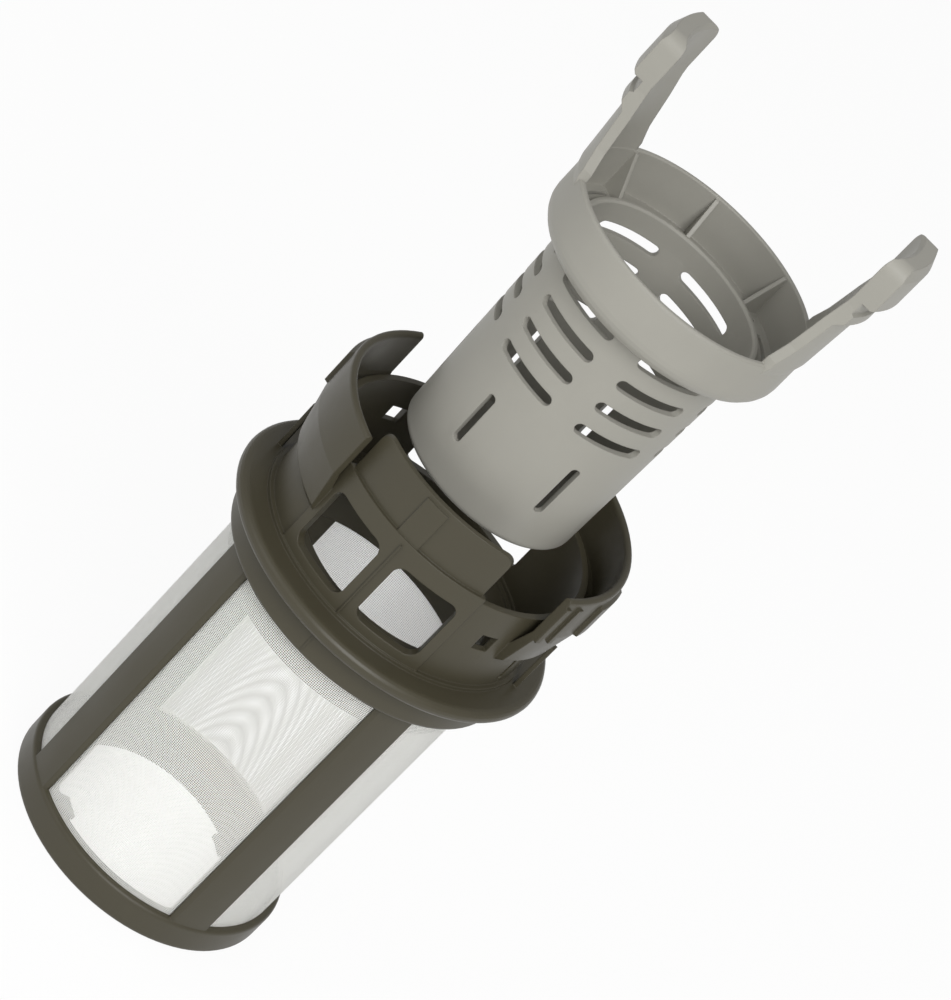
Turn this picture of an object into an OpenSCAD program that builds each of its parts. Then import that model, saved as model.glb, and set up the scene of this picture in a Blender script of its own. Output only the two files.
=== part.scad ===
// Drum-shaped dishwasher filter: a moulded cylinder with a woven sleeve, and a
// slotted cup drawn up out of it by two side prongs.
// The object stands on its bottom ring. Its front faces -Y and its two wings
// face +X and -X. Each moulding repeats after half a turn about Z.

/* [Sleeve] */
// Outer radius of the woven sleeve
sleeve_r = 36; // [32:0.5:42]
// Wall of the woven sleeve
sleeve_wall = 0.6; // [0.4:0.1:1]
// Height of the sleeve between the bottom ring and the shoulder band
sleeve_h = 84.6; // [60:0.2:110]
// Rows of gaps in the weave of each bay, drawn coarser than the real gauze
weave_rows = 30; // [6:1:30]
// Height of each gap in the weave
weave_gap = 1.1; // [0.4:0.1:2]

/* [Cylinder] */
// How far the bottom ring stands out of the sleeve
ring_proud = 1.6; // [1:0.1:3]
// Height of the bottom ring
ring_h = 8.4; // [5:0.2:14]
// Radial depth of the ring and the band inside the sleeve
ring_inset = 1.8; // [1.2:0.1:3]
// Width of each upright bar
bar_w = 11.6; // [6:0.2:18]
// How far each bar stands out of the sleeve
bar_proud = 1.2; // [0.6:0.1:2]
// How far the shoulder band stands out of the sleeve
band_proud = 4.3; // [2:0.1:7]
// Height of the shoulder band below the flange
band_h = 8.4; // [4:0.2:14]
// How far the flange stands out of the sleeve
flange_proud = 9.3; // [6:0.1:14]
// Thickness of the flange
flange_t = 4; // [3:0.2:6]
// Rounding of the moulded edges
edge_round = 1.2; // [0.6:0.1:1.8]

/* [Collar] */
// How far the collar wall stands out of the sleeve
collar_proud = 1; // [0.5:0.1:2]
// Thickness of the collar wall
collar_wall = 1.8; // [1.2:0.1:2.6]
// Height of the collar wall above the flange
wall_h = 25.4; // [20:0.2:36]
// Height of the front and back panels above the collar wall
panel_h = 14.2; // [8:0.2:20]
// Half angle of the front and back panels
panel_half = 34; // [28:0.5:40]
// How far the window frame stands out of the collar wall
frame_proud = 0.7; // [0.3:0.1:1.2]
// Width of each collar window
window_w = 17.6; // [10:0.2:19]
// Height of each collar window
window_h = 18; // [10:0.2:22]
// Corner radius of the windows and panel tops
window_round = 2.8; // [1:0.1:4]
// Width of the mullion between two windows
mullion_w = 4.6; // [3:0.2:9]
// Height of the window sill above the flange
sill_h = 3.6; // [2:0.2:6]
// Width of the raised key on each panel
key_w = 6.4; // [3:0.2:9]
// Width and height of the square hole in the side wall
catch_w = 4.6; // [3:0.2:6]
// Angle from the front of the wing to the square hole
catch_turn = 40; // [36:0.5:50]

/* [Wings] */
// Angle from the wing's middle to its free edge
wing_free = 30; // [22:0.5:36]
// Height of the wings above the flange
wing_h = 37; // [32:0.2:46]
// How far the wings stand out of the collar wall
wing_flare = 4.3; // [3:0.1:6]
// Thickness of the wings
wing_wall = 2; // [1.4:0.1:2.6]
// Height above the flange where the wings leave the wall
wing_foot = 13; // [9:0.2:18]
// Width of the strut under each wing
strut_w = 2.6; // [1.6:0.1:5]
// Radial thickness of the strut
strut_t = 1.2; // [0.8:0.1:2]

/* [Cup] */
// Outer radius of the cup at its foot
cup_foot_r = 24.5; // [20:0.2:26]
// Outer radius of the cup under its rim
cup_top_r = 26; // [22:0.2:27]
// Wall of the cup
cup_wall = 1.6; // [1.2:0.1:2.2]
// Height from the foot to the seat under the rim
cup_seat_h = 61; // [54:0.5:70]
// Height of the rim above the seat
rim_h = 15; // [11:0.5:20]
// Radial gap between the rim and the collar wall
rim_gap = 1.7; // [0.5:0.1:3]
// Wall of the rim
rim_wall = 1.6; // [1.2:0.1:2.4]
// Width of each slot in the cup
slot_w = 3; // [1.5:0.1:4]
// Half angle of each ring slot
slot_half = 21.5; // [12:0.5:25]
// Distance between the rows of slots
slot_pitch = 7.5; // [5:0.1:9]
// Groups of slots round the cup
slot_groups = 6; // [3:1:6]
// Rows of slots in each group
slot_rows = 4; // [1:1:4]
// Length of the upright slot under each group
upright_len = 15; // [6:0.5:20]
// Width of the upright slots
upright_w = 2.4; // [1.2:0.1:4]
// How far the cup is drawn up out of its seat
cup_draw = 95.8; // [0:0.1:105.8]

/* [Prongs] */
// Half width of a prong at the rim
prong_half = 16.5; // [10:0.5:18]
// Half width of a prong at its grip
grip_half = 12.5; // [7:0.5:15]
// Height of the prong tip above the rim
prong_h = 37.6; // [30:0.2:50]
// Thickness of the prong
prong_t = 2.4; // [1.6:0.1:3.2]
// How far the prong leans out between the rim and the grip
prong_lean = 2; // [0:0.1:3]
// How far the grip stands out of the prong
grip_proud = 3; // [1:0.1:4]
// Height of the grip
grip_h = 13; // [8:0.2:18]
// How far the hook stands out of the prong
hook_proud = 1.6; // [0.8:0.1:2]

/* [Hidden] */
cylinder_colour = "#4f4c40";
mesh_colour = "#e9e9e2";
cup_colour = "#a3a299";
$fn = 96;

// Running gap between the seated cup and what holds it
seat_gap = 0.3;
// Length by which a cut runs past the face that it opens
past = 1;
// Distance by which mouldings of one piece run into each other
root = 0.4;

// Angle of plain sleeve beside each bar
weave_edge = 1.5;
// How much a bar presses each face of the weave
weave_pinch = 0.1;

ring_r = sleeve_r + ring_proud;
bore_r = sleeve_r - sleeve_wall - ring_inset;
bar_r = sleeve_r + bar_proud;
band_r = sleeve_r + band_proud;
flange_r = sleeve_r + flange_proud;
band_z = ring_h + sleeve_h;
flange_z = band_z + band_h;
deck_z = flange_z + flange_t;

collar_r = sleeve_r + collar_proud;
collar_in = collar_r - collar_wall;
wall_z = deck_z + wall_h;
panel_z = wall_z + panel_h;
frame_r = collar_r + frame_proud;
sill_z = deck_z + sill_h;
plinth_h = 1;
plinth_proud = 1.2;
bead_h = 1.6;
frame_half = panel_half + 1.5;
panel_r = collar_r - 0.3;
key_proud = 0.5;
catch_z = deck_z + 15;
crescent_turn = 14;
crescent_z = deck_z + 7;
crescent_w = 1.6;
crescent_h = 9;
crescent_round = 0.7;
ridge = 0.5;
window_turn = asin((mullion_w + window_w) / 2 / collar_r);

wing_r = collar_r + wing_flare;
wing_z = deck_z + wing_h;
wing_foot_z = deck_z + wing_foot;
wing_knee_z = wing_foot_z + 11;
wing_join = 90 - panel_half + 0.6;
pad_proud = 1;
pad_h = 9.6;
pad_half = 9;
rib_proud = 0.7;
rib_half = 1;
rib_turns = [1, 7];
strut_r = collar_r + wing_flare / 2 + strut_t / 2;

cup_gap = 1;
ledge_r = cup_top_r + cup_gap;
ledge_t = 3.4;
ledge_z = deck_z - 0.6;
rim_r = collar_in - rim_gap;
rim_round = 5;
rim_in = rim_r - rim_wall;
rim_z = cup_seat_h + rim_h;
shelf_z = cup_seat_h + 3;
lip_h = 2.2;
lip_w = 1.8;
cup_z = ledge_z + seat_gap - cup_seat_h + cup_draw;
foot_round = 1.6;
slot_top_z = cup_seat_h - 2.4;
inner_cut = cup_foot_r - cup_wall - 2;
slot_phase = -109;
upright_turn = -2.5;
upright_z = 19;
upright_round = 1.1;
gusset_turns = [58, 103, 148];
gusset_t = 1.1;
gusset_set = 0.6;
shelf_slot_w = 1.1;
shelf_slot_turns = [16, 61, 106, 151];
shelf_slot_span = 26;
shelf_hole_r = 0.7;
shelf_hole_turn = 6;

prong_z = rim_z + prong_h;
grip_z = prong_z - grip_h;
hook_z = grip_z - 8;
hook_h = 4.4;
prong_out = rim_r + 0.7;
prong_turn = 40;
prong_corner = 4;
prong_waist = 1.6;
grip_set = 2;
pocket_h = 12;
pocket_w = 5;
pocket_d = 1;
pocket_turn = 4;
pocket_round = 0.6;

// A band of material or space round Z, between two radii and two heights
module band(r_in, r_out, z_low, z_high, from = 0, to = 360, sides = $fn) {
    rotate([0, 0, from])
        rotate_extrude(angle = to - from, $fn = sides)
            translate([r_in, z_low])
                square([r_out - r_in, z_high - z_low]);
}

// Points of a quarter round, from one angle to another
function arc(cx, cy, r, from, to, steps = 5) =
    [for (i = [0:steps]) [
        cx + r * cos(from + (to - from) * i / steps),
        cy + r * sin(from + (to - from) * i / steps)
    ]];

// A flat shape with round corners, centred on its middle
module rounded(w, h, r) {
    square([w - 2 * r, h], center = true);
    square([w, h - 2 * r], center = true);
    for (sx = [-1, 1], sy = [-1, 1])
        translate([sx * (w / 2 - r), sy * (h / 2 - r)])
            circle(r = r, $fn = 32);
}

// A flat shape in X and Z, carried outwards through a wall at an angle round Z
module outwards(turn, r_in, r_out, z) {
    rotate([0, 0, turn + 90])
        translate([0, -r_in, z])
            rotate([90, 0, 0])
                linear_extrude(r_out - r_in)
                    children();
}

// What a half turn about Z repeats
module twice() {
    for (turn = [0, 180])
        rotate([0, 0, turn])
            children();
}

module bottom_ring() {
    rotate_extrude()
        polygon(concat(
            [[bore_r, 0]],
            arc(ring_r - edge_round, edge_round, edge_round, -90, 0),
            arc(ring_r - edge_round, ring_h - edge_round, edge_round, 0, 90),
            [[bore_r, ring_h]]
        ));
}

module upright_bar() {
    bevel = bar_proud;
    linear_extrude(band_z - ring_h + 2 * root)
        intersection() {
            difference() {
                circle(r = bar_r);
                circle(r = sleeve_r);
            }
            polygon([
                [0, -bar_w / 2], [sleeve_r, -bar_w / 2], [bar_r + past, -bar_w / 2 + bevel + past],
                [bar_r + past, bar_w / 2 - bevel - past], [sleeve_r, bar_w / 2], [0, bar_w / 2]
            ]);
        }
}

module shoulder_and_flange() {
    rim = flange_t / 2;
    rotate_extrude()
        polygon(concat(
            [[bore_r, band_z]],
            arc(band_r - edge_round, band_z + edge_round, edge_round, -90, 0),
            [[band_r, flange_z], [flange_r - rim, flange_z]],
            arc(flange_r - rim, flange_z + rim, rim, -90, 90, 8),
            [[bore_r, deck_z]]
        ));
    band(collar_in - root, collar_r + plinth_proud, deck_z - root, deck_z + plinth_h);
}

// The seat inside the flange, on which the cup's rim comes to rest
module seat_ledge() {
    rotate_extrude()
        polygon([
            [ledge_r, ledge_z], [ledge_r, ledge_z - ledge_t], [bore_r + root, ledge_z - ledge_t - 4],
            [collar_in + root, ledge_z - ledge_t - 4], [collar_in + root, ledge_z]
        ]);
}

module window_frame() {
    band(collar_in, frame_r, deck_z - root, wall_z + bead_h, -90 - frame_half, -90 + frame_half);
}

module top_panel() {
    width = 2 * panel_r * sin(panel_half);
    spare = 5;
    intersection() {
        band(collar_in, panel_r, wall_z - root, panel_z + past, -90 - panel_half - spare, -90 + panel_half + spare);
        outwards(-90, 0, collar_r + past, panel_z - panel_h)
            rounded(width, 2 * panel_h, window_round);
    }
    key_half = asin(key_w / 2 / panel_r);
    band(panel_r - root, panel_r + key_proud, wall_z, panel_z - edge_round, -90 - key_half, -90 + key_half);
}

module windows() {
    for (side = [-1, 1])
        outwards(-90 + side * window_turn, collar_r / 2, frame_r + past, sill_z + window_h / 2)
            rounded(window_w, window_h, window_round);
}

// The square hole beside the front panel and the narrow one under the wing
module side_holes() {
    outwards(-catch_turn, collar_r / 2, frame_r + past, catch_z)
        square([catch_w, catch_w], center = true);
    outwards(-crescent_turn, collar_r / 2, frame_r + past, crescent_z)
        rounded(crescent_w, crescent_h, crescent_round);
}

// A wing: a wall that leaves the collar, flares out and stands up beside it
module wing() {
    inner = wing_r - wing_wall;
    wall_mid = collar_r - collar_wall / 2;
    rotate([0, 0, -wing_free])
        rotate_extrude(angle = wing_free + wing_join)
            polygon(concat(
                [[wall_mid, wing_foot_z - wing_wall], [collar_r, wing_foot_z - wing_wall]],
                [[collar_r + wing_flare / 2, wing_foot_z], [wing_r, wing_knee_z]],
                arc(wing_r - wing_wall / 2, wing_z - wing_wall / 2, wing_wall / 2, 0, 180, 6),
                [[inner, wing_knee_z], [wall_mid, wing_foot_z + 1]]
            ));
    rotate([0, 0, -pad_half])
        rotate_extrude(angle = 2 * pad_half)
            polygon([
                [wing_r - root, wing_knee_z - 0.5], [wing_r + pad_proud, wing_knee_z],
                [wing_r + pad_proud, wing_knee_z + pad_h], [wing_r - root, wing_knee_z + pad_h + 1.2]
            ]);
    for (turn = rib_turns)
        band(wing_r - root, wing_r + rib_proud, wing_knee_z - 1, wing_z - wing_wall,
            turn - wing_free - rib_half, turn - wing_free + rib_half);
}

module strut() {
    translate([strut_r - strut_t / 2, -strut_w / 2, deck_z - root])
        cube([strut_t, strut_w, wing_foot + strut_t + root]);
}

// The fine ridge that the mould leaves down the middle of the front
module parting_ridge() {
    translate([-ridge / 2, -band_r - ridge / 2, band_z + edge_round])
        cube([ridge, band_proud, band_h - edge_round]);
    translate([-ridge / 2, -frame_r - ridge, deck_z])
        cube([ridge, ridge + frame_proud, wall_h]);
}

module filter_cylinder() {
    color(cylinder_colour) {
        bottom_ring();
        for (turn = [45:90:315])
            rotate([0, 0, turn])
                translate([0, 0, ring_h - root])
                    upright_bar();
        shoulder_and_flange();
        seat_ledge();
        difference() {
            union() {
                band(collar_in, collar_r, deck_z - root, wall_z);
                twice() {
                    window_frame();
                    top_panel();
                    wing();
                    strut();
                    parting_ridge();
                }
            }
            twice() {
                windows();
                side_holes();
            }
        }
    }
}

module mesh_sleeve() {
    pitch = sleeve_h / (weave_rows + 1);
    press = asin(bar_w / 2 / sleeve_r) + weave_edge;
    color(mesh_colour) {
        for (row = [0:weave_rows])
            band(sleeve_r - sleeve_wall, sleeve_r, ring_h + row * pitch + (row > 0 ? weave_gap / 2 : 0),
                ring_h + (row + 1) * pitch - (row < weave_rows ? weave_gap / 2 : 0));
        // Under a bar the gauze is pressed a little thinner
        for (bar = [45:90:315])
            band(sleeve_r - sleeve_wall + weave_pinch, sleeve_r - weave_pinch, ring_h + weave_pinch,
                band_z - weave_pinch, bar - press, bar + press);
    }
}

module cup_shell() {
    inner_foot = cup_foot_r - cup_wall;
    inner_top = cup_top_r - cup_wall;
    rotate_extrude()
        polygon(concat(
            [[0, 0]],
            arc(cup_foot_r - foot_round, foot_round, foot_round, -90, 0),
            [[cup_top_r, cup_seat_h]],
            arc(rim_r - rim_round, cup_seat_h + rim_round, rim_round, -90, 0, 6),
            [[rim_r, rim_z - 0.5], [rim_r - 0.5, rim_z], [rim_in + 0.3, rim_z], [rim_in, rim_z - 0.3]],
            [[rim_in, shelf_z], [inner_top + lip_w + 0.4, shelf_z]],
            [[inner_top + lip_w, shelf_z + lip_h - 0.5], [inner_top + lip_w - 0.5, shelf_z + lip_h]],
            [[inner_top + 0.5, shelf_z + lip_h], [inner_top, shelf_z + lip_h - 0.5]],
            [[inner_top, cup_seat_h], [inner_foot, foot_round + cup_wall], [inner_foot - 1, cup_wall]],
            [[0, cup_wall]]
        ));
}

// A slot that runs round the cup, with round ends
module ring_slot(z) {
    turn = slot_half - asin(slot_w / 2 / cup_top_r);
    band(inner_cut, cup_top_r + past, z - slot_w / 2, z + slot_w / 2, -turn, turn);
    for (end = [-turn, turn])
        rotate([0, 0, end])
            translate([inner_cut, 0, z])
                rotate([0, 90, 0])
                    cylinder(r = slot_w / 2, h = cup_top_r + past - inner_cut, $fn = 32);
}

module cup_slots() {
    for (group = [0:slot_groups - 1])
        rotate([0, 0, slot_phase + group * 360 / slot_groups]) {
            for (row = [0:slot_rows - 1])
                ring_slot(slot_top_z - row * slot_pitch);
            outwards(upright_turn, inner_cut, cup_top_r + past, upright_z)
                rounded(upright_w, upright_len, upright_round);
        }
}

module shelf_slots() {
    mid = (cup_top_r - cup_wall + lip_w + rim_in) / 2;
    for (turn = shelf_slot_turns)
        band(mid - shelf_slot_w / 2, mid + shelf_slot_w / 2, cup_seat_h - past, shelf_z + past,
            turn, turn + shelf_slot_span);
    for (turn = gusset_turns)
        rotate([0, 0, turn - shelf_hole_turn])
            translate([mid, 0, cup_seat_h - past])
                cylinder(r = shelf_hole_r, h = shelf_z - cup_seat_h + 2 * past, $fn = 24);
}

module gussets() {
    foot = cup_top_r - cup_wall + lip_w;
    for (turn = gusset_turns)
        rotate([0, 0, turn])
            translate([0, gusset_t / 2, 0])
                rotate([90, 0, 0])
                    linear_extrude(gusset_t)
                        polygon([
                            [foot, shelf_z - root], [rim_in + root, shelf_z - root],
                            [rim_in + root, rim_z - gusset_set], [rim_in - gusset_set, rim_z - gusset_set],
                            [foot, shelf_z + lip_h - gusset_set]
                        ]);
}

// The outline of a prong seen from its side, from the rim to the round tip
module prong_outline() {
    corner = prong_corner;
    polygon([
        [-prong_half, rim_z - rim_h + rim_round], [prong_half, rim_z - rim_h + rim_round],
        [prong_half, rim_z + 2], [prong_half - prong_waist, rim_z + 7],
        [grip_half, grip_z - grip_set], [grip_half, prong_z - corner],
        [grip_half - corner, prong_z], [-grip_half + corner, prong_z],
        [-grip_half, prong_z - corner], [-grip_half, grip_z - grip_set],
        [-prong_half + prong_waist, rim_z + 7], [-prong_half, rim_z + 2]
    ]);
    for (side = [-1, 1])
        translate([side * (grip_half - corner), prong_z - corner])
            circle(r = corner, $fn = 32);
}

module prong() {
    low_z = rim_z - 3;
    mid_out = prong_out + prong_lean * 0.6;
    top_out = prong_out + prong_lean;
    grip_out = top_out + grip_proud;
    difference() {
        intersection() {
            rotate([0, 0, -prong_turn])
                rotate_extrude(angle = 2 * prong_turn)
                    polygon([
                        [rim_in + 0.1, low_z], [rim_r - 0.1, low_z], [prong_out, rim_z],
                        [mid_out, hook_z], [mid_out + hook_proud, hook_z + 1.8],
                        [mid_out + hook_proud, hook_z + hook_h], [top_out, hook_z + hook_h + 0.4],
                        [top_out, grip_z], [grip_out - 0.8, grip_z], [grip_out, grip_z + 0.8],
                        [grip_out, prong_z - 3], [grip_out - 1.2, prong_z],
                        [top_out - prong_t + 0.8, prong_z], [top_out - prong_t, prong_z - 1],
                        [top_out - prong_t, grip_z], [mid_out - prong_t, hook_z],
                        [rim_in + 0.1, rim_z]
                    ]);
            rotate([90, 0, 90])
                linear_extrude(2 * rim_r)
                    prong_outline();
        }
        outwards(pocket_turn, rim_in - past, mid_out - prong_t + pocket_d, hook_z - pocket_h / 2)
            rounded(pocket_w, pocket_h, pocket_round);
    }
}

module cup_filter() {
    color(cup_colour)
        translate([0, 0, cup_z]) {
            difference() {
                cup_shell();
                cup_slots();
                twice()
                    shelf_slots();
            }
            twice() {
                gussets();
                prong();
            }
        }
}

filter_cylinder();
mesh_sleeve();
cup_filter();
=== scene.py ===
"""Dishwasher filter: a moulded cylinder with a woven sleeve, and a slotted cup drawn up out of it.

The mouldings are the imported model's own solids. This file gives them their finish, weaves the
gauze of the sleeve, and sets the studio and the camera. Lengths in properties are millimetres
unless their unit says otherwise, and the object stands on the floor along Z.
"""

import math

import bpy
from mathutils import Matrix, Vector


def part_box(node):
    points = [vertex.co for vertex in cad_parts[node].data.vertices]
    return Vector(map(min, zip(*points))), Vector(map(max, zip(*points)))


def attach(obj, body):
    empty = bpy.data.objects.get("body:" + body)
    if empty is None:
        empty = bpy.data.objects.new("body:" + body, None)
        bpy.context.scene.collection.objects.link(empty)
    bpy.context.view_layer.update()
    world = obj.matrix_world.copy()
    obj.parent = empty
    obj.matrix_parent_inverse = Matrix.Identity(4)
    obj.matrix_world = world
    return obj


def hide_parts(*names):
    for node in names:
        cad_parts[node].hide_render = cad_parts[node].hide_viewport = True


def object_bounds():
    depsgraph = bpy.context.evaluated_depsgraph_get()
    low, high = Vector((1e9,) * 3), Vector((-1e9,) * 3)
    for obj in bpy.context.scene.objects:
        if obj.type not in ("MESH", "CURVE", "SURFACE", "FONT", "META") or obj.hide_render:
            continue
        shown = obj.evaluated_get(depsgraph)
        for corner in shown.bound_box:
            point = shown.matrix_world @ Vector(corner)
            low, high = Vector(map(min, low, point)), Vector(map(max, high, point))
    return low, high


bl_info = {
    "name": "Dishwasher filter",
    "version": (1, 0, 0),
    "blender": (4, 5, 0),
    "location": "View3D > Sidebar > Filter",
    "description": "Finishes, woven sleeve and studio for a drum-shaped dishwasher filter",
    "category": "Object",
}

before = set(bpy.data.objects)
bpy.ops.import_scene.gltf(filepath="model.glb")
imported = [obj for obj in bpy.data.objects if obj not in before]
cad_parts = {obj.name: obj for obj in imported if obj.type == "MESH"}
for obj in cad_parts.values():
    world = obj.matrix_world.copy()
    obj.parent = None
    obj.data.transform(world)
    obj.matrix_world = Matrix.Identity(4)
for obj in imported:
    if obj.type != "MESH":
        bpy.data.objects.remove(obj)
cad_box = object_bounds()

MM = 0.001

# Room between the mouldings for the gauze, mm
SLEEVE_WALL = 0.6


def linear(shade):
    """The linear colour of an sRGB hex value such as #a3a299."""
    parts = [int(shade[i:i + 2], 16) / 255 for i in (1, 3, 5)]
    return [c / 12.92 if c <= 0.04045 else ((c + 0.055) / 1.055) ** 2.4 for c in parts] + [1.0]


def colour(shade, name, description):
    """A colour property whose default is an sRGB hex value."""
    return bpy.props.FloatVectorProperty(
        name=name, description=description, subtype="COLOR", size=4, min=0, max=1,
        default=linear(shade))


def length(default, name, description, **limits):
    """A length property in millimetres."""
    return bpy.props.FloatProperty(name=name, description=description, default=default, **limits)


class MouldingSettings(bpy.types.PropertyGroup):
    """Colours and surface of the two moulded pieces."""

    cylinder_colour: colour(
        "#433f31", "Cylinder", "Glass-filled polypropylene of the cylinder")
    cup_colour: colour(
        "#96948c", "Cup", "Polypropylene of the cup and its prongs")
    cylinder_edge: length(
        0.45, "Cylinder edges", "Radius to which the cylinder's sharp edges are broken, mm", min=0)
    cup_edge: length(
        0.4, "Cup edges", "Radius to which the cup's sharp edges are broken, mm", min=0)
    grain: length(
        0.5, "Grain", "Size of the grain that the mould's surface leaves, mm", min=0.1)
    mottle: length(
        14.0, "Mottle", "Size of the soft patches in the plastic, mm", min=1)


class GauzeSettings(bpy.types.PropertyGroup):
    """Weave of the sleeve."""

    thread_colour: colour(
        "#fdfdf9", "Thread", "Polyester thread of the gauze")
    pitch: length(
        0.5, "Pitch", "Distance between threads, mm", min=0.2)
    thread: length(
        0.155, "Thread", "Thickness of a thread, mm", min=0.05)
    sides: bpy.props.IntProperty(
        name="Sides", description="Straight stretches round the sleeve", default=192, min=24)


class FrameSettings(bpy.types.PropertyGroup):
    """Lip, skirt and strips inside the cylinder, of one moulding with it."""

    lip_radius: length(
        25.9, "Lip", "Inner radius of the lip inside the bottom ring, mm", min=20)
    lip_height: length(
        1.6, "Lip height", "Height of the lip and its lugs, mm", min=0.5)
    lug_radius: length(
        23.0, "Lugs", "Inner radius of the two lugs on the lip, mm", min=15)
    lug_turn: bpy.props.FloatProperty(
        name="Lug turn", description="Angle from the right-hand side to the first lug",
        subtype="ANGLE", default=math.radians(48.5))
    lug_half: bpy.props.FloatProperty(
        name="Lug half", description="Half the angle that a lug takes up",
        subtype="ANGLE", default=math.radians(7.5))
    skirt_height: length(
        7.5, "Skirt", "Depth of the skirt that holds the gauze under the flange, mm", min=1)
    skirt_wall: length(
        1.8, "Skirt wall", "Thickness of the skirt, mm", min=0.5)
    strip_width: length(
        11.6, "Strips", "Width of the strip that clamps the gauze to a bar, mm", min=2)
    strip_wall: length(
        1.0, "Strip wall", "Thickness of a strip, mm", min=0.3)


class StudioSettings(bpy.types.PropertyGroup):
    """Camera, lamps and floor."""

    elevation: bpy.props.FloatProperty(
        name="Elevation", description="Height of the camera above the horizon",
        subtype="ANGLE", default=math.radians(28.3))
    turn: bpy.props.FloatProperty(
        name="Turn", description="Angle of the camera round the object from the front",
        subtype="ANGLE", default=math.radians(3.3))
    roll: bpy.props.FloatProperty(
        name="Roll", description="Tilt of the picture about the line of sight",
        subtype="ANGLE", default=math.radians(-44.1))
    aside: length(-82.7, "Aside", "Place of the foot right of the picture's middle, mm")
    above: length(-81.6, "Above", "Place of the foot above the picture's middle, mm")
    away: length(993.5, "Away", "Distance from the camera to the foot, mm", min=1)
    focal: bpy.props.FloatProperty(
        name="Focal length", description="Focal length of the lens", subtype="DISTANCE_CAMERA",
        unit="CAMERA", default=144.0)
    sky: bpy.props.FloatProperty(
        name="Sky", description="Strength of the soft light from all round", default=0.42, min=0)
    key_power: bpy.props.FloatProperty(
        name="Key", description="Power of the main lamp", subtype="POWER", unit="POWER",
        default=12.5, min=0)
    fill_power: bpy.props.FloatProperty(
        name="Fill", description="Power of the second lamp", subtype="POWER", unit="POWER",
        default=3.0, min=0)
    floor_colour: colour("#f4f4f2", "Floor", "Matt paper of the floor")


def add(tree, kind, inputs=None, **settings):
    """Adds a node, with its settings and what its sockets hold or are linked to."""
    made = tree.nodes.new(kind)
    for key, value in settings.items():
        setattr(made, key, value)
    for socket, source in (inputs or {}).items():
        if isinstance(source, bpy.types.NodeSocket):
            tree.links.new(source, made.inputs[socket])
        else:
            made.inputs[socket].default_value = source
    return made


def new_material(name):
    """An empty node material, and its tree."""
    material = bpy.data.materials.new(name)
    material.use_nodes = True
    material.node_tree.nodes.clear()
    return material, material.node_tree


def finish_material(tree, shader):
    """Links a shader to the material's output."""
    add(tree, "ShaderNodeOutputMaterial", {"Surface": shader})


def moulded_plastic(name, base, edge, grain, mottle, roughness, grain_depth):
    """Injection-moulded plastic: an even satin skin, faintly patchy, with soft edges and fine grain."""
    material, tree = new_material(name)
    place = add(tree, "ShaderNodeTexCoord").outputs["Object"]

    # Pigment settles in faint patches, a few per cent lighter and darker than the mean
    patches = add(tree, "ShaderNodeTexNoise",
                  {"Vector": place, "Scale": 1 / (mottle * MM), "Detail": 3.0, "Roughness": 0.6})
    lighter = [min(1, c * 1.06) for c in base[:3]] + [1]
    darker = [c * 0.94 for c in base[:3]] + [1]
    pigment = add(tree, "ShaderNodeMix",
                  {"Factor": patches.outputs["Fac"], "A": darker, "B": lighter}, data_type="RGBA")

    # Flow of the melt leaves bands where the gloss differs a little
    gloss = add(tree, "ShaderNodeMapRange",
                {"Value": patches.outputs["Fac"], "From Min": 0.3, "From Max": 0.7,
                 "To Min": roughness - 0.04, "To Max": roughness + 0.05})

    # The spark-eroded mould leaves a fine grain
    pits = add(tree, "ShaderNodeTexNoise",
               {"Vector": place, "Scale": 1 / (grain * MM), "Detail": 2.0})
    soft_edge = add(tree, "ShaderNodeBevel", {"Radius": edge * MM}, samples=6)
    skin = add(tree, "ShaderNodeBump",
               {"Height": pits.outputs["Fac"], "Strength": grain_depth, "Distance": 0.05 * MM,
                "Normal": soft_edge.outputs["Normal"]})
    plastic = add(tree, "ShaderNodeBsdfPrincipled",
                  {"Base Color": pigment.outputs[2], "Roughness": gloss.outputs["Result"],
                   "IOR": 1.49, "Specular IOR Level": 0.4, "Normal": skin.outputs["Normal"]})
    finish_material(tree, plastic.outputs["BSDF"])
    return material


def woven_gauze(name, base, pitch, thread):
    """Polyester gauze: plain weave of round threads, nearly white, open between them."""
    material, tree = new_material(name)
    weave = add(tree, "ShaderNodeSeparateXYZ",
                {"Vector": add(tree, "ShaderNodeUVMap", uv_map="weave").outputs["UV"]})

    def from_thread(axis):
        """Distance from the middle of the nearest thread, in mm."""
        return add(tree, "ShaderNodeMath", {0: weave.outputs[axis], 1: pitch / 2},
                   operation="PINGPONG").outputs[0]

    def is_thread(distance):
        return add(tree, "ShaderNodeMath", {0: distance, 1: thread / 2},
                   operation="LESS_THAN").outputs[0]

    warp, weft = from_thread("X"), from_thread("Y")
    cover = add(tree, "ShaderNodeMath", {0: is_thread(warp), 1: is_thread(weft)},
                operation="MAXIMUM")
    nearest = add(tree, "ShaderNodeMath", {0: warp, 1: weft}, operation="MINIMUM")
    roundness = add(tree, "ShaderNodeMapRange",
                    {"Value": nearest.outputs[0], "From Max": thread / 2, "To Min": 1.0,
                     "To Max": 0.0}, interpolation_type="SMOOTHSTEP")
    relief = add(tree, "ShaderNodeBump",
                 {"Height": roundness.outputs["Result"], "Strength": 0.6,
                  "Distance": thread / 2 * MM})
    polyester = add(tree, "ShaderNodeBsdfPrincipled",
                    {"Base Color": base, "Roughness": 0.5, "IOR": 1.57,
                     "Alpha": cover.outputs[0], "Normal": relief.outputs["Normal"]})
    finish_material(tree, polyester.outputs["BSDF"])
    return material


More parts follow.
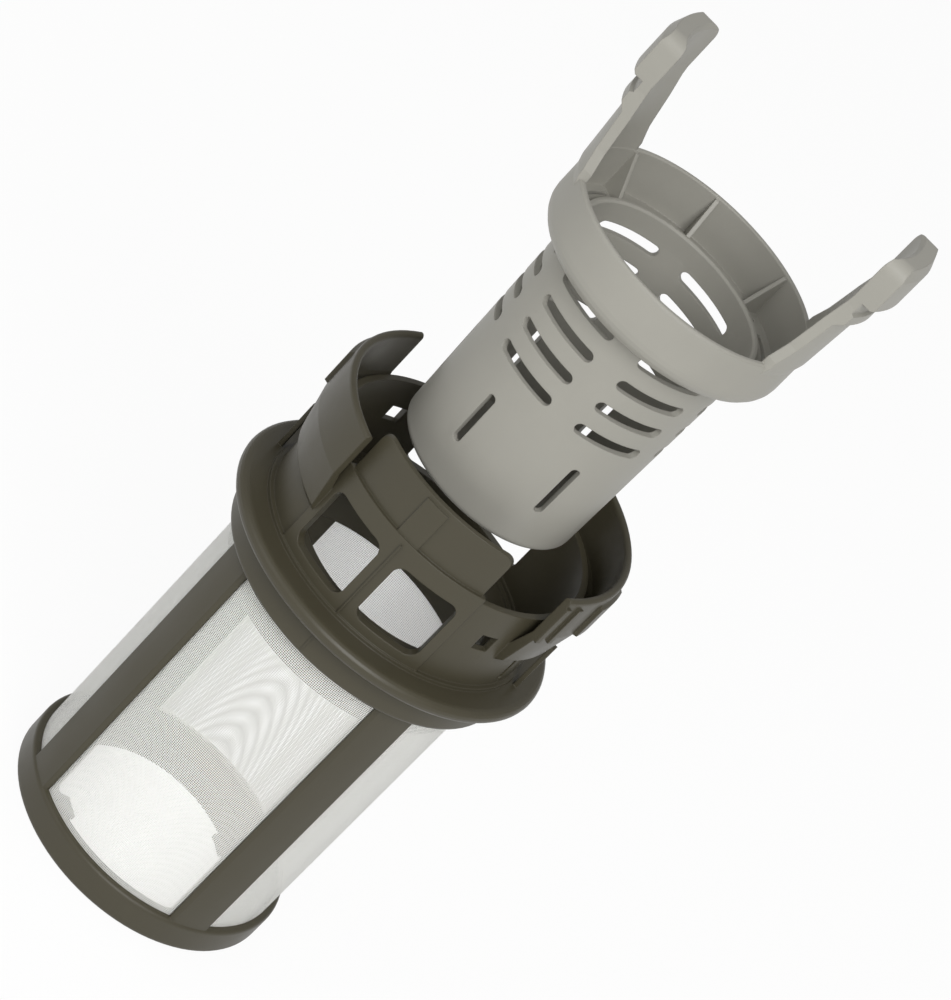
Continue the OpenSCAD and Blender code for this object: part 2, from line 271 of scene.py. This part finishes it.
def matt_paper(name, base):
    """Studio paper: matt, and shown to the camera as the white of the photograph."""
    material, tree = new_material(name)
    paper = add(tree, "ShaderNodeBsdfDiffuse", {"Color": base})
    rays = add(tree, "ShaderNodeLightPath")
    seen = add(tree, "ShaderNodeMath",
               {0: rays.outputs["Is Camera Ray"], 1: rays.outputs["Is Glossy Ray"]},
               operation="MAXIMUM")
    share = add(tree, "ShaderNodeMath", {0: seen.outputs[0], 1: 0.93}, operation="MULTIPLY")
    white = add(tree, "ShaderNodeEmission", {"Color": (1, 1, 1, 1), "Strength": 1.0})
    shown = add(tree, "ShaderNodeMixShader",
                {"Fac": share.outputs[0], 1: paper.outputs[0], 2: white.outputs[0]})
    finish_material(tree, shown.outputs[0])
    return material


def deselect_all():
    """Leaves object mode with nothing selected, so that a new piece is worked on alone."""
    if bpy.context.object and bpy.context.object.mode != "OBJECT":
        bpy.ops.object.mode_set(mode="OBJECT")
    bpy.ops.object.select_all(action="DESELECT")


def new_piece(name):
    """Names the object that an operator has just added."""
    piece = bpy.context.object
    piece.name = name
    piece.data.name = name
    return piece


def settle(piece):
    """Applies the piece's place, so that its object sits at the origin, unturned and unscaled."""
    deselect_all()
    piece.select_set(True)
    bpy.context.view_layer.objects.active = piece
    bpy.ops.object.transform_apply(location=True, rotation=True, scale=True)
    return piece


def swept_band(name, r_in, r_out, low, high, start, turn, steps):
    """A band of wall round Z: its outline is laid down at one angle and swept round."""
    deselect_all()
    middle = (r_in + r_out) / 2
    bpy.ops.mesh.primitive_plane_add(
        size=1, location=(middle * math.cos(start), middle * math.sin(start), (low + high) / 2),
        rotation=(math.pi / 2, 0, start))
    piece = new_piece(name)
    piece.scale = (r_out - r_in, high - low, 1)
    settle(piece)
    whole = turn > 2 * math.pi - 0.001
    bpy.ops.object.mode_set(mode="EDIT")
    bpy.ops.mesh.select_all(action="SELECT")
    if whole:
        bpy.ops.mesh.delete(type="ONLY_FACE")
        bpy.ops.mesh.select_all(action="SELECT")
    bpy.ops.mesh.spin(steps=steps, angle=-turn, center=(0, 0, 0), axis=(0, 0, 1))
    bpy.ops.mesh.select_all(action="SELECT")
    bpy.ops.mesh.remove_doubles(threshold=0.00001)
    bpy.ops.mesh.normals_make_consistent(inside=False)
    bpy.ops.object.mode_set(mode="OBJECT")
    bpy.ops.object.shade_smooth_by_angle(angle=math.radians(35))
    return piece


def turned_copy(piece, name, turn):
    """The same piece again, turned about Z."""
    deselect_all()
    piece.select_set(True)
    bpy.context.view_layer.objects.active = piece
    bpy.ops.object.duplicate()
    again = new_piece(name)
    again.matrix_world = Matrix.Rotation(turn, 4, "Z") @ again.matrix_world
    return settle(again)


def coat(piece, material):
    """Gives a piece one material all over."""
    piece.data.materials.clear()
    piece.data.materials.append(material)


class FILTER_OT_finish_cylinder(bpy.types.Operator):
    """Give the cylinder moulding its dark satin plastic"""

    bl_idname = "filter.finish_cylinder"
    bl_label = "Finish cylinder"

    def execute(self, context):
        look = context.scene.filter_moulding
        coat(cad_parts["filter_cylinder"], moulded_plastic(
            "glass_filled_polypropylene_moulded", look.cylinder_colour, look.cylinder_edge,
            look.grain, look.mottle, roughness=0.42, grain_depth=0.25))
        return {"FINISHED"}


class FILTER_OT_finish_cup(bpy.types.Operator):
    """Give the cup moulding its light grey satin plastic"""

    bl_idname = "filter.finish_cup"
    bl_label = "Finish cup"

    def execute(self, context):
        look = context.scene.filter_moulding
        coat(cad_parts["cup_filter"], moulded_plastic(
            "polypropylene_moulded", look.cup_colour, look.cup_edge,
            look.grain, look.mottle, roughness=0.45, grain_depth=0.2))
        return {"FINISHED"}


class FILTER_OT_mould_frame(bpy.types.Operator):
    """Mould the lip, skirt and strips that the cylinder has inside its sleeve"""

    bl_idname = "filter.mould_frame"
    bl_label = "Mould inner frame"

    def execute(self, context):
        look = context.scene.filter_frame
        low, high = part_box("mesh_sleeve")
        inside = high.x - SLEEVE_WALL * MM
        bore = inside - look.skirt_wall * MM
        floor = 0.05 * MM
        lip_top = look.lip_height * MM
        root = 0.4 * MM
        pieces = [
            swept_band("cylinder_lip", look.lip_radius * MM, bore + root, floor, lip_top,
                       0, 2 * math.pi, 96),
            swept_band("cylinder_skirt", bore, inside, high.z - look.skirt_height * MM,
                       high.z + root, 0, 2 * math.pi, 96),
        ]
        lug = swept_band(
            "cylinder_lug_right", look.lug_radius * MM, look.lip_radius * MM + root, floor + root / 8,
            lip_top - root / 8, look.lug_turn - look.lug_half, 2 * look.lug_half, 6)
        pieces += [lug, turned_copy(lug, "cylinder_lug_left", math.pi)]
        half = math.asin(look.strip_width * MM / 2 / inside)
        strip = swept_band(
            "cylinder_strip_1", inside - look.strip_wall * MM, inside, low.z - root,
            high.z + root, math.pi / 4 - half, 2 * half, 8)
        pieces.append(strip)
        for bar in (1, 2, 3):
            pieces.append(turned_copy(strip, f"cylinder_strip_{bar + 1}", bar * math.pi / 2))
        plastic = bpy.data.materials["glass_filled_polypropylene_moulded"]
        for piece in pieces:
            coat(piece, plastic)
            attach(piece, "cylinder")
        return {"FINISHED"}


class FILTER_OT_weave_sleeve(bpy.types.Operator):
    """Weave the gauze sleeve in the place of the plain one"""

    bl_idname = "filter.weave_sleeve"
    bl_label = "Weave sleeve"

    def execute(self, context):
        look = context.scene.filter_gauze
        low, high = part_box("mesh_sleeve")
        radius = high.x - SLEEVE_WALL / 2 * MM
        tall = high.z - low.z
        deselect_all()
        bpy.ops.mesh.primitive_cylinder_add(
            vertices=look.sides, radius=radius, depth=tall, end_fill_type="NOTHING",
            location=(0, 0, (low.z + high.z) / 2))
        sleeve = settle(new_piece("gauze_sleeve"))

        # The cloth is as thick as a thread, so its sides close up where they are seen along
        bpy.ops.object.mode_set(mode="EDIT")
        bpy.ops.mesh.select_all(action="SELECT")
        bpy.ops.mesh.solidify(thickness=look.thread * 0.8 * MM)
        bpy.ops.mesh.select_all(action="SELECT")
        bpy.ops.mesh.normals_make_consistent(inside=False)
        bpy.ops.object.mode_set(mode="OBJECT")
        bpy.ops.object.shade_smooth_by_angle(angle=math.radians(35))

        # Whole numbers of threads go round, so that the weave meets itself at its seam
        around = 2 * math.pi * radius / MM
        threads = round(around / look.pitch)
        stretch = threads * look.pitch / around
        flat = sleeve.data.uv_layers.new(name="weave")
        for face in sleeve.data.polygons:
            turns = [math.atan2(sleeve.data.vertices[i].co.y, sleeve.data.vertices[i].co.x)
                     for i in face.vertices]
            wraps = max(turns) - min(turns) > math.pi
            for loop, turn in zip(face.loop_indices, turns):
                angle = turn + 2 * math.pi if wraps and turn < 0 else turn
                height = sleeve.data.vertices[sleeve.data.loops[loop].vertex_index].co.z
                flat.data[loop].uv = (angle * radius / MM * stretch, height / MM)
        coat(sleeve, woven_gauze(
            "polyester_gauze_woven", look.thread_colour, look.pitch, look.thread))
        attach(sleeve, "cylinder")
        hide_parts("mesh_sleeve")
        return {"FINISHED"}


class FILTER_OT_set_studio(bpy.types.Operator):
    """Set the floor, the soft light and the camera"""

    bl_idname = "filter.set_studio"
    bl_label = "Set studio"

    def execute(self, context):
        look = context.scene.filter_studio
        self.lay_floor(look)
        self.light(context, look)
        self.aim_camera(context, look)
        view = context.scene.view_settings
        view.view_transform = "Standard"
        return {"FINISHED"}

    def lay_floor(self, look):
        deselect_all()
        bpy.ops.mesh.primitive_plane_add(size=6, location=(0, 0, 0))
        floor = new_piece("floor")
        coat(floor, matt_paper("paper_matt", look.floor_colour))

    def light(self, context, look):
        """A white sky that the camera sees at full strength, and two large soft lamps."""
        world = bpy.data.worlds.new("studio")
        context.scene.world = world
        world.use_nodes = True
        tree = world.node_tree
        tree.nodes.clear()
        rays = add(tree, "ShaderNodeLightPath")
        soft = add(tree, "ShaderNodeBackground", {"Color": (1, 1, 1, 1), "Strength": look.sky})
        white = add(tree, "ShaderNodeBackground", {"Color": (1, 1, 1, 1), "Strength": 1.0})
        shown = add(tree, "ShaderNodeMixShader",
                    {"Fac": rays.outputs["Is Camera Ray"], 1: soft.outputs[0],
                     2: white.outputs[0]})
        add(tree, "ShaderNodeOutputWorld", {"Surface": shown.outputs[0]})
        middle = (cad_box[0] + cad_box[1]) / 2
        lamps = (
            ("key_lamp", Vector((0.4, -0.95, 0.8)), 0.7, look.key_power),
            ("fill_lamp", Vector((-0.9, -0.5, 0.7)), 0.9, look.fill_power),
        )
        for name, away, size, power in lamps:
            deselect_all()
            bpy.ops.object.light_add(type="AREA", location=middle + away)
            lamp = bpy.context.object
            lamp.name = name
            lamp.data.size = size
            lamp.data.energy = power
            lamp.rotation_mode = "QUATERNION"
            lamp.rotation_quaternion = (-away).to_track_quat("-Z", "Y")

    def aim_camera(self, context, look):
        """Stands the camera where the photograph was taken from."""
        back = Vector((0, -math.cos(look.elevation), math.sin(look.elevation)))
        right = Vector((1, 0, 0))
        up = Vector((0, math.sin(look.elevation), math.cos(look.elevation)))
        cos, sin = math.cos(look.roll), math.sin(look.roll)
        rolled_right = right * cos - up * sin
        rolled_up = right * sin + up * cos
        place = -(rolled_right * look.aside + rolled_up * look.above - back * look.away) * MM
        basis = Matrix((rolled_right, rolled_up, back)).transposed().to_4x4()
        deselect_all()
        bpy.ops.object.camera_add()
        camera = bpy.context.object
        camera.name = "camera"
        camera.data.lens = look.focal
        camera.data.sensor_width = 36
        camera.data.clip_start = 0.05
        camera.data.clip_end = 20
        camera.data.dof.use_dof = False
        camera.matrix_world = Matrix.Rotation(look.turn, 4, "Z") @ Matrix.Translation(place) @ basis
        context.scene.camera = camera


class FILTER_PT_panel(bpy.types.Panel):
    """Steps and settings of the filter, in the 3D view's sidebar"""

    bl_idname = "FILTER_PT_panel"
    bl_label = "Dishwasher filter"
    bl_space_type = "VIEW_3D"
    bl_region_type = "UI"
    bl_category = "Filter"

    def draw(self, context):
        for settings in SETTINGS.values():
            box = self.layout.box()
            group = getattr(context.scene, settings[0])
            for key in settings[1].__annotations__:
                box.prop(group, key)
        for step in STEPS:
            self.layout.operator(step.bl_idname)


SETTINGS = {
    "moulding": ("filter_moulding", MouldingSettings),
    "frame": ("filter_frame", FrameSettings),
    "gauze": ("filter_gauze", GauzeSettings),
    "studio": ("filter_studio", StudioSettings),
}
STEPS = (
    FILTER_OT_finish_cylinder,
    FILTER_OT_finish_cup,
    FILTER_OT_mould_frame,
    FILTER_OT_weave_sleeve,
    FILTER_OT_set_studio,
)


def register():
    for name, group in SETTINGS.values():
        bpy.utils.register_class(group)
        setattr(bpy.types.Scene, name, bpy.props.PointerProperty(type=group))
    for step in STEPS:
        bpy.utils.register_class(step)
    bpy.utils.register_class(FILTER_PT_panel)


def unregister():
    bpy.utils.unregister_class(FILTER_PT_panel)
    for step in reversed(STEPS):
        bpy.utils.unregister_class(step)
    for name, group in reversed(SETTINGS.values()):
        delattr(bpy.types.Scene, name)
        bpy.utils.unregister_class(group)


def main():
    """Builds everything, one step after another."""
    register()
    for step in STEPS:
        group, name = step.bl_idname.split(".")
        getattr(getattr(bpy.ops, group), name)()


if __name__ == "__main__":
    main()
